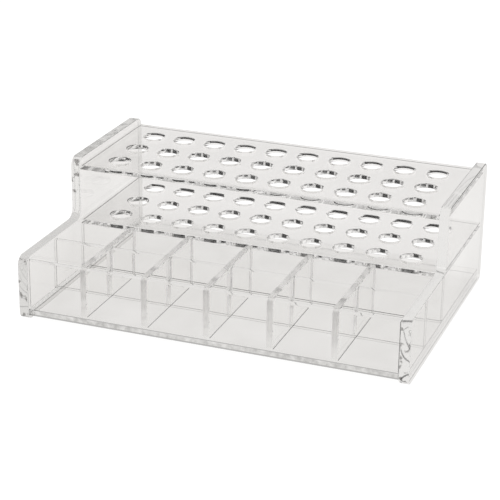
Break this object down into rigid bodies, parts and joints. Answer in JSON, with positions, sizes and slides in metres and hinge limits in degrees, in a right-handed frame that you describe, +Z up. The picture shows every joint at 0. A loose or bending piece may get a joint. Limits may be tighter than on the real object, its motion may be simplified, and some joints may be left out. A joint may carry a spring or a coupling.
{
  "type": "stepped organiser rack",
  "caption": "Clear acrylic stepped rack: drilled shelves, one above the other, hold slim tubes upright behind a low tray of open compartments.",
  "frame": {"origin": "middle of the footprint, on the table", "axes": "+X along the rack to the right, +Y from the tray to the open back, +Z up"},
  "size_m": [0.24, 0.165, 0.078],
  "materials": {
    "thick_sheet": "clear polished acrylic, saw marks on the cut edges",
    "thin_sheet": "clear polished acrylic, flame polished edges",
    "drilled_sheet": "clear polished acrylic, machined holes"
  },
  "bodies": {
    "root": {"left_side_panel": "thick_sheet", "right_side_panel": "thick_sheet", "base_panel": "thin_sheet", "front_wall": "thin_sheet", "riser_wall": "thin_sheet", "lower_shelf": "drilled_sheet", "upper_shelf": "drilled_sheet", "long_divider": "thin_sheet", "cross_divider_1": "thin_sheet", "cross_divider_2": "thin_sheet", "cross_divider_3": "thin_sheet", "cross_divider_4": "thin_sheet", "cross_divider_5": "thin_sheet"}
  },
  "joints": []
}
